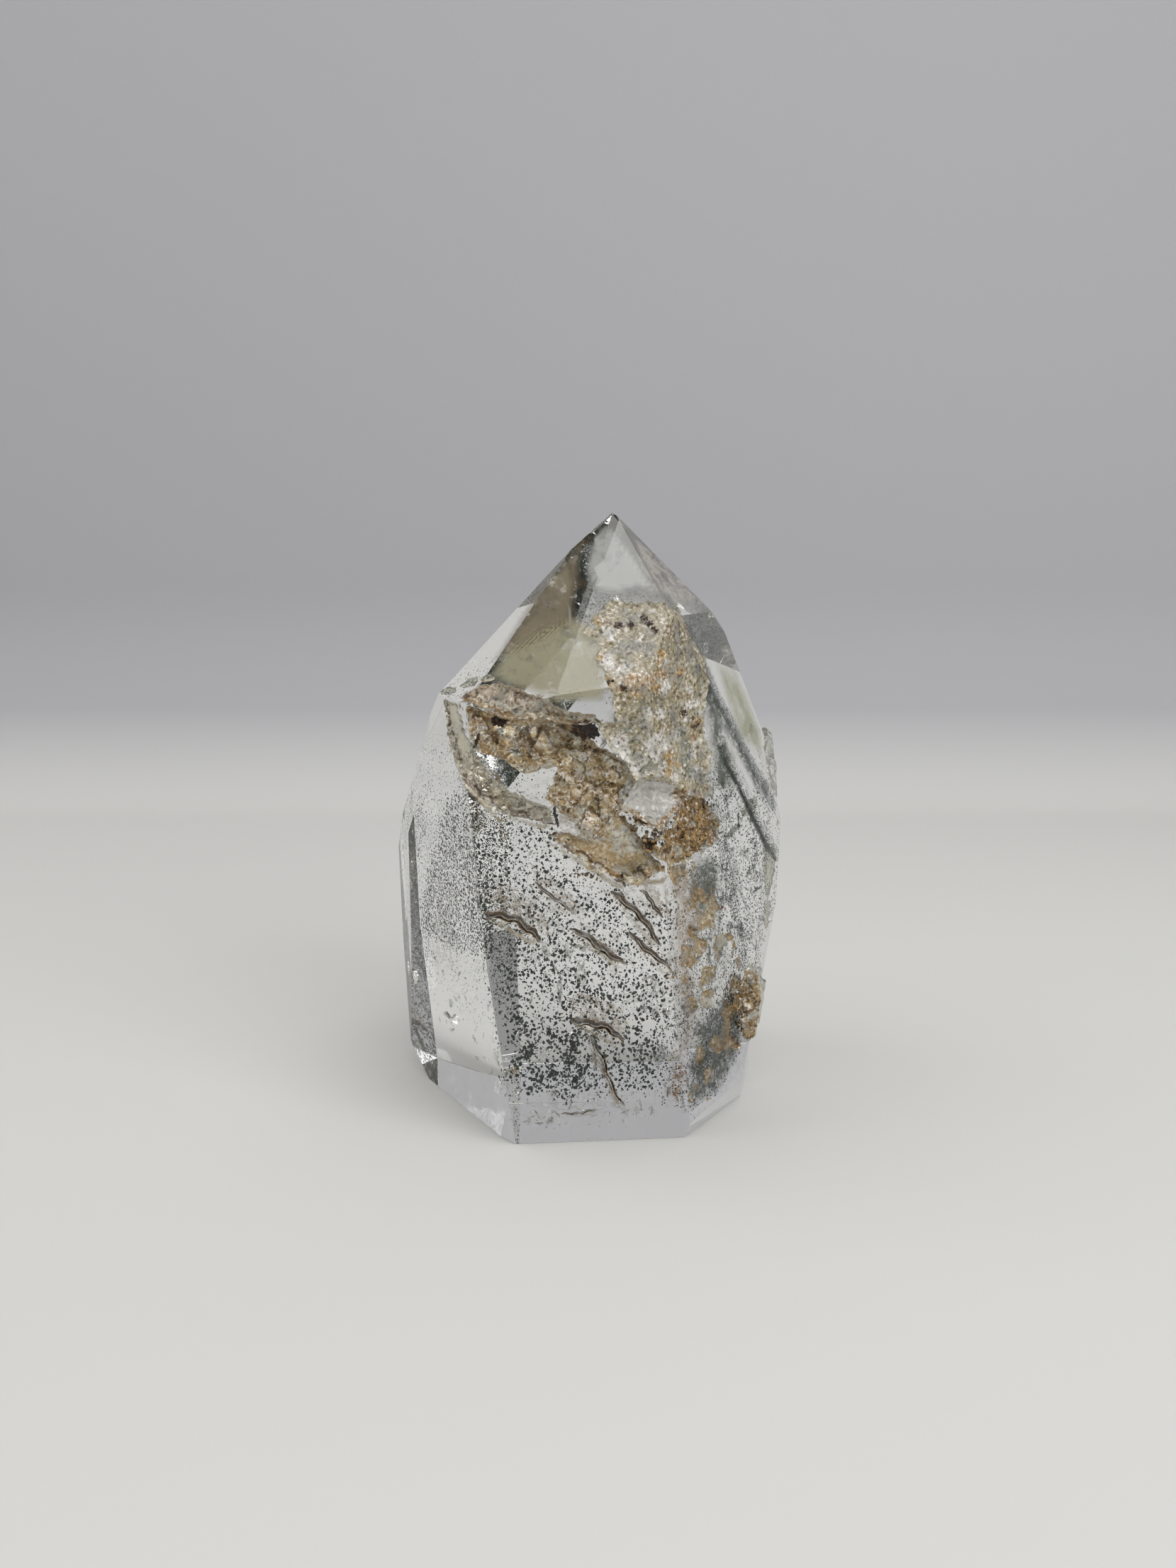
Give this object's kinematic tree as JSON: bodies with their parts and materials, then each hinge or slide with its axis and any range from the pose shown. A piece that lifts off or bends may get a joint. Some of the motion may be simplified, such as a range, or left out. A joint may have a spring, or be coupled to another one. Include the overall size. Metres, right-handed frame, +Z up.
{
  "type": "garden quartz tower",
  "caption": "Free-standing polished point of included garden quartz, faceted to a tip, with a flat base and natural broken hollows and crevices in its front.",
  "frame": {"origin": "middle of the stone's bounding box, at the table that it stands on", "axes": "+Z up along the stone to its tip, -Y out of the wide front facet with the broken hollow, +X to the right as the front is seen"},
  "size_m": [0.0516, 0.0408, 0.0745],
  "materials": {
    "quartz_tower": "polished clear quartz with chlorite, iron-stained fractures and brown mineral inclusions, natural broken surfaces left unpolished"
  },
  "bodies": {
    "root": {"quartz_tower": "quartz_tower"}
  },
  "joints": []
}
